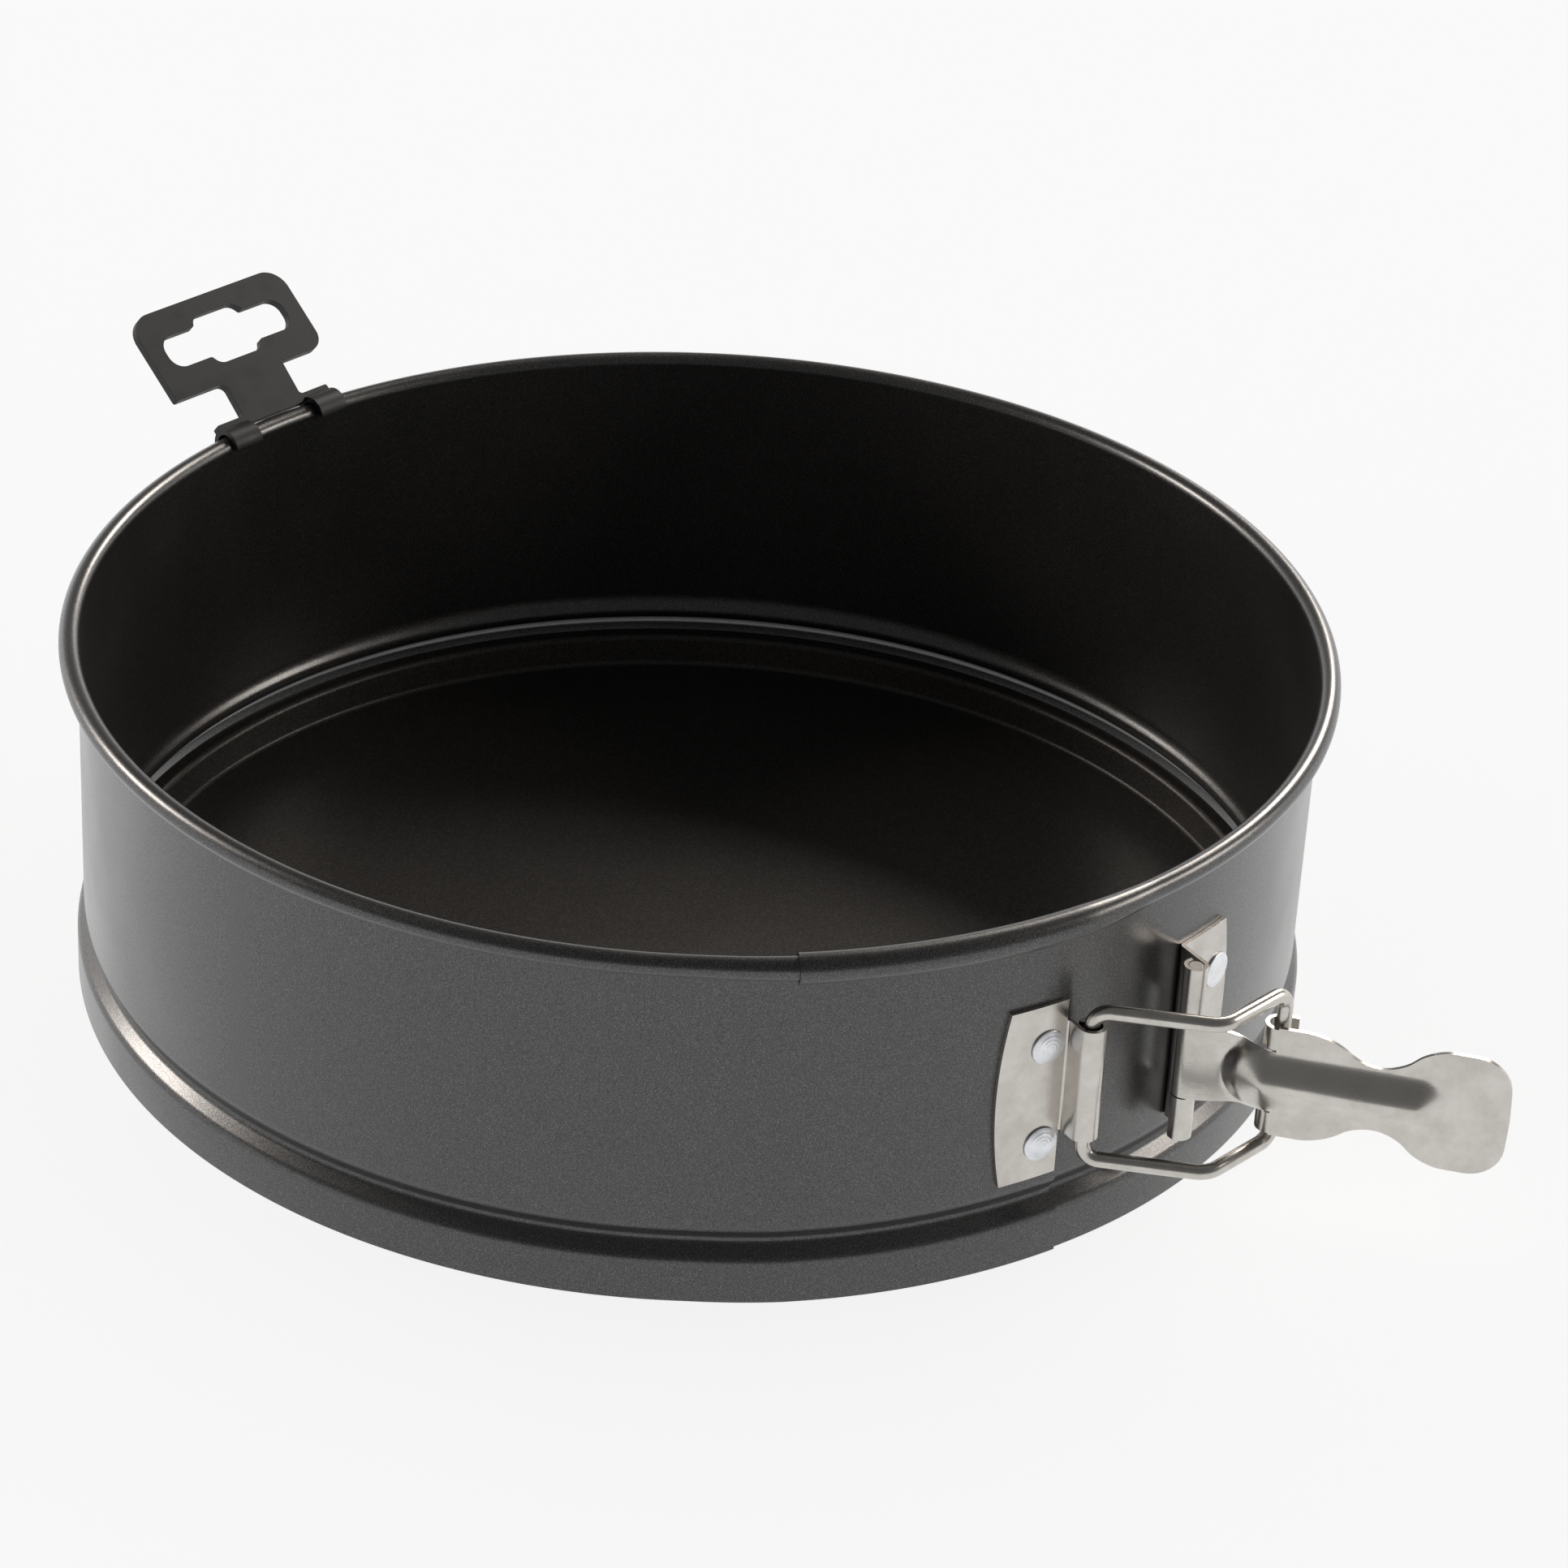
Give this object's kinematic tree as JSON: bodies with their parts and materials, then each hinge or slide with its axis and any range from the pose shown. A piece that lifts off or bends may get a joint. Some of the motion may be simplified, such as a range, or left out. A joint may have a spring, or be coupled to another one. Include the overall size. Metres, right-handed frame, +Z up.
{
  "type": "springform pan",
  "caption": "Round springform cake pan: a lapped side band with rolled rim and a toggle latch closes round a shallow removable base; a slotted hang tag clips on the rim.",
  "frame": {"origin": "centre of the base's underside, where the pan stands on the table", "axes": "+Z up along the pan's axis; +Y towards the hang tag; the latch is near -Y"},
  "size_m": [0.2472, 0.3271, 0.0928],
  "materials": {
    "band_coating": "fine metallic-flake non-stick coating, satin",
    "base_coating": "dark non-stick coating, semi-gloss",
    "nickel": "nickel-plated steel, satin with light handling marks",
    "rivet": "bright aluminium with turned rings",
    "tag_plastic": "matt moulded plastic"
  },
  "bodies": {
    "base": {"base_plate": "base_coating"},
    "ring": {"side_band": "band_coating", "right_bracket": "nickel", "right_rivet_upper": "rivet", "right_rivet_lower": "rivet", "hinge_pin": "nickel"},
    "lap_end": {"left_bracket": "nickel", "left_rivet_upper": "rivet", "left_rivet_lower": "rivet"},
    "bail": {"bail": "nickel"},
    "lever": {"lever": "nickel"},
    "hang_tag": {"hang_tag": "tag_plastic"}
  },
  "joints": [
    {"name": "ring_lift", "type": "slide", "parent": "base", "child": "ring", "axis": [0, 0, 1], "range_m": [0, 0.1]},
    {"name": "lever_swing", "type": "hinge", "parent": "ring", "child": "lever", "pos_m": [-0.00198, -0.12638, 0.03525], "axis": [0, 0, 1], "range_deg": [-8, 56]},
    {"name": "lap_slide", "type": "hinge", "parent": "ring", "child": "lap_end", "pos_m": [0, 0, 0.036], "axis": [0, 0, 1], "range_deg": [-0.43, 2.87], "deforming": ["side_band"]},
    {"name": "bail_swing", "type": "hinge", "parent": "lap_end", "child": "bail", "pos_m": [-0.02588, -0.12229, 0.03735], "axis": [0, 0, 1], "range_deg": [-2.88, 19.54]},
    {"name": "tag_tilt", "type": "hinge", "parent": "ring", "child": "hang_tag", "pos_m": [0, 0.12098, 0.0713], "axis": [1, 0, 0], "range_deg": [-40, 5]}
  ],
  "couplings": [
    {"joint": "lap_slide", "follows": "lever_swing", "ratio": 0.0509},
    {"joint": "bail_swing", "follows": "lever_swing", "ratio": 0.34722}
  ]
}
